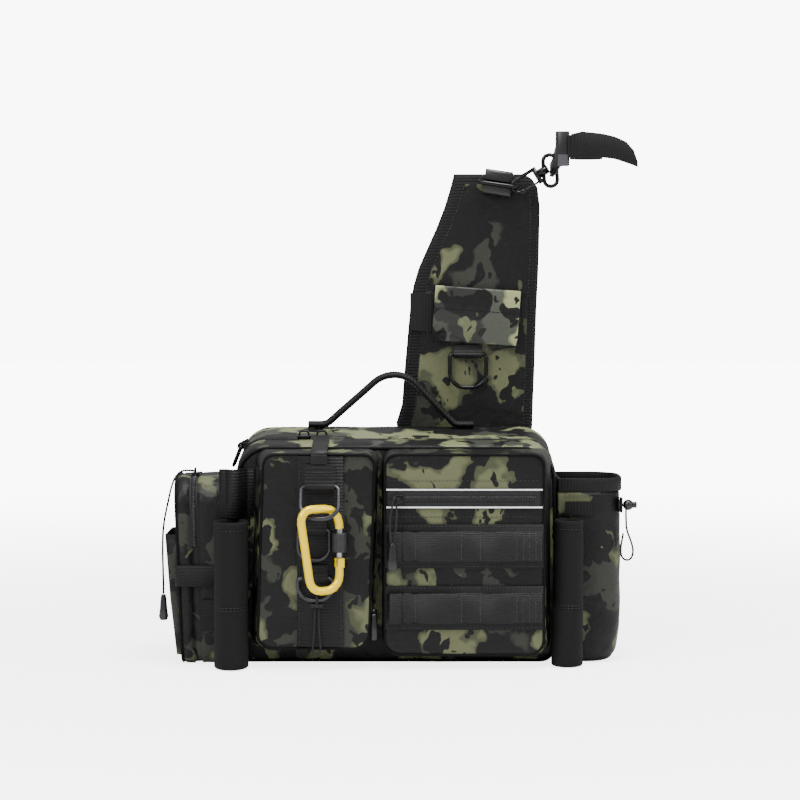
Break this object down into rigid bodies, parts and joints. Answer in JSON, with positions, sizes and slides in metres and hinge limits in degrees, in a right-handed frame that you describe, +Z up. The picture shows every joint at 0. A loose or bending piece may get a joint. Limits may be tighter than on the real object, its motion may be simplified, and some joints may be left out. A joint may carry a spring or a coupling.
{
  "type": "fishing tackle sling bag",
  "caption": "Soft sling bag with front pockets, a side pouch, a bottle pocket, rod sleeves, a ring ladder with a screw carabiner, and a padded shoulder strap standing behind.",
  "frame": {"origin": "middle of the main compartment's flat base", "axes": "+Z up, -Y to the bag's front with its two pockets, +X to the bottle pocket"},
  "size_m": [0.459, 0.1932, 0.506],
  "materials": {
    "camo_cloth": "printed coated polyester cloth with a soft sheen",
    "strap_cloth": "printed coated cloth over foam",
    "pad_mesh": "black spacer mesh over foam",
    "webbing": "woven black nylon webbing",
    "zip_tape": "black tape with a nylon coil",
    "sleeve_cloth": "matt black foam-backed cloth",
    "zip_metal": "black enamelled die-cast zinc",
    "ring_metal": "grey satin lacquer on bent wire",
    "dark_metal": "black gloss lacquer on bent wire",
    "carabiner_metal": "yellow satin anodised",
    "gate_metal": "plain brushed",
    "sleeve_metal": "black anodised, knurled",
    "black_plastic": "moulded black",
    "pull_rubber": "moulded, slightly glossy",
    "cord": "braided black polyester cord"
  },
  "bodies": {
    "bag": {"main_body": "camo_cloth", "main_zipper": "zip_tape", "main_slider_left": "zip_metal", "main_slider_right": "zip_metal", "main_pull_tab": "webbing", "back_pad": "pad_mesh", "carry_handle": "webbing", "left_pocket": "camo_cloth", "right_pocket": "camo_cloth", "slash_zipper": "zip_tape", "slash_slider": "zip_metal", "slash_pull_cord": "cord", "slash_pull_end": "pull_rubber", "ladder_webbing": "webbing", "ring_tab_upper": "webbing", "ring_upper": "ring_metal", "ring_tab_middle": "webbing", "ring_middle": "ring_metal", "ring_tab_lower": "webbing", "ring_lower": "ring_metal", "ring_cord_knot": "cord", "ring_cord": "cord", "carabiner": "carabiner_metal", "molle_band_upper": "webbing", "molle_loops_upper": "webbing", "molle_band_lower": "webbing", "molle_loops_lower": "webbing", "side_pouch": "camo_cloth", "pouch_zipper": "zip_tape", "tool_pocket": "camo_cloth", "pouch_band": "webbing", "pouch_slider": "zip_metal", "pouch_pull_cord": "cord", "pouch_pull_end": "pull_rubber", "tool_keeper": "webbing", "side_ring_tab": "webbing", "side_ring": "dark_metal", "rod_sleeve_right": "sleeve_cloth", "rod_sleeve_left": "sleeve_cloth", "bottle_pocket": "camo_cloth", "bottle_rim": "webbing", "drawcord_tab": "webbing", "cord_lock": "black_plastic", "drawcord": "cord", "shoulder_strap": "strap_cloth", "strap_pocket": "strap_cloth", "strap_flap": "strap_cloth", "strap_ring_tab": "webbing", "strap_ring": "dark_metal", "strap_top_tab": "webbing", "top_ring": "dark_metal", "snap_hook": "dark_metal", "hook_eye": "dark_metal", "rod_strap_tab": "webbing", "rod_strap": "webbing", "sling_webbing": "webbing"},
    "gate": {"carabiner_gate": "gate_metal"},
    "gate_sleeve": {"carabiner_sleeve": "sleeve_metal"},
    "snap_gate": {"hook_gate": "dark_metal"},
    "lock_button": {"cord_lock_button": "black_plastic"}
  },
  "joints": [
    {"name": "carabiner_gate_hinge", "type": "hinge", "parent": "bag", "child": "gate", "pos_m": [-0.05197, -0.10353, 0.1024], "axis": [0.5, -0.866, 0], "range_deg": [0, 25], "stiffness_Nm_per_rad": 0.03, "springref_deg": -22.92},
    {"name": "gate_sleeve_slide", "type": "slide", "parent": "gate", "child": "gate_sleeve", "axis": [0, 0, 1], "range_m": [0, 0.0035]},
    {"name": "hook_gate_hinge", "type": "hinge", "parent": "bag", "child": "snap_gate", "pos_m": [0.14041, 0.0418, 0.45915], "axis": [0, 1, 0], "range_deg": [0, 20], "stiffness_Nm_per_rad": 0.01, "springref_deg": -17.19},
    {"name": "lock_button_press", "type": "slide", "parent": "bag", "child": "lock_button", "axis": [-1, 0, 0], "range_m": [0, 0.0025], "stiffness_N_per_m": 400, "springref_m": -0.002}
  ]
}
